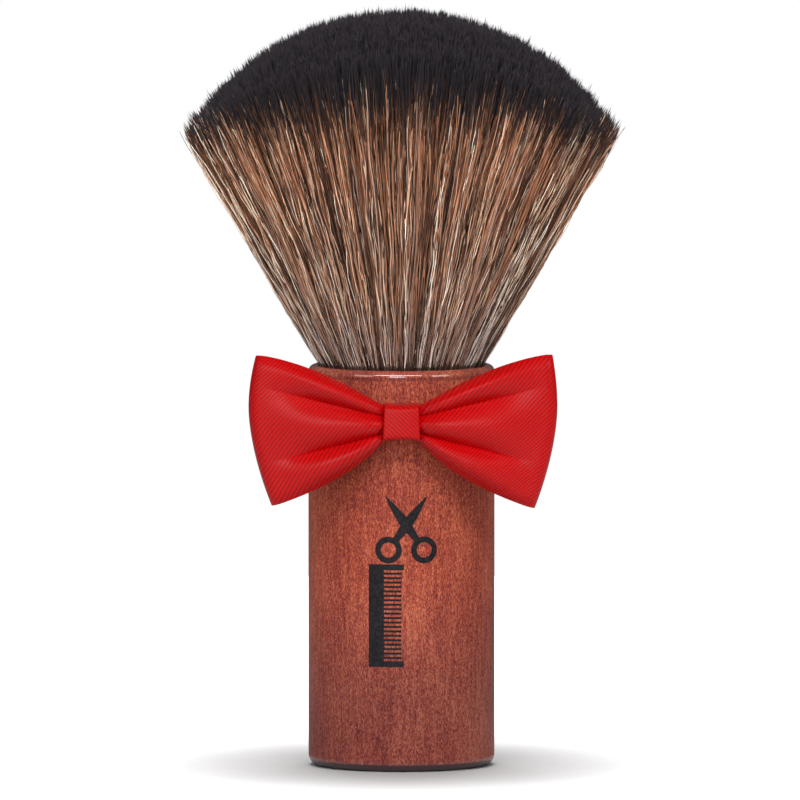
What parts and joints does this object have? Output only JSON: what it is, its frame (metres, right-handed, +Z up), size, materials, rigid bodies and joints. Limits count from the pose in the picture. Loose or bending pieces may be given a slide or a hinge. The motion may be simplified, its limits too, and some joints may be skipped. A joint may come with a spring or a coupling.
{
  "type": "neck duster brush",
  "caption": "Barber's neck duster that stands upright: cylindrical wooden handle, wide oval fan of soft bristle with a domed top, and a ribbon bow tie on an elastic band.",
  "frame": {"origin": "centre of the handle's flat base, on the surface that the brush stands on", "axes": "+Z up along the handle's axis towards the bristles, -Y towards the viewer of the bow, +X across the bow and the fan's wide way"},
  "size_m": [0.0892, 0.0584, 0.1545],
  "materials": {
    "handle_wood": "stained hardwood with brown figure under satin lacquer",
    "print_ink": "black pad-printed ink",
    "bristle_hair": "natural hair, brown with black tips and pale guard hairs",
    "binding_twine": "waxed twine",
    "knot_resin": "set amber resin",
    "glue": "dried glue",
    "cup_metal": "drawn aluminium",
    "elastic": "red woven elastic",
    "sewing_thread": "red polyester thread",
    "bow_satin": "red satin ribbon"
  },
  "bodies": {
    "handle": {"handle": "handle_wood", "glue_bed": "glue", "knot_cup": "cup_metal", "resin_plug": "knot_resin", "binding_cord": "binding_twine", "bristle_roots": "bristle_hair"},
    "fan": {"bristle_fan": "bristle_hair"},
    "band": {"neck_band": "elastic", "band_stitching": "sewing_thread"},
    "bow": {"bow_loop": "bow_satin", "gather_thread": "sewing_thread", "knot_wrap": "bow_satin"}
  },
  "joints": [
    {"name": "fan_bend", "type": "hinge", "parent": "handle", "child": "fan", "pos_m": [0, 0, 0.082], "axis": [1, 0, 0], "range_deg": [-20, 20], "stiffness_Nm_per_rad": 0.5},
    {"name": "band_slide", "type": "slide", "parent": "handle", "child": "band", "axis": [0, 0, 1], "range_m": [-0.053, 0.004]},
    {"name": "bow_turn", "type": "hinge", "parent": "band", "child": "bow", "pos_m": [0, 0, 0.0724], "axis": [0, 0, 1], "range_deg": [-150, 150]}
  ]
}
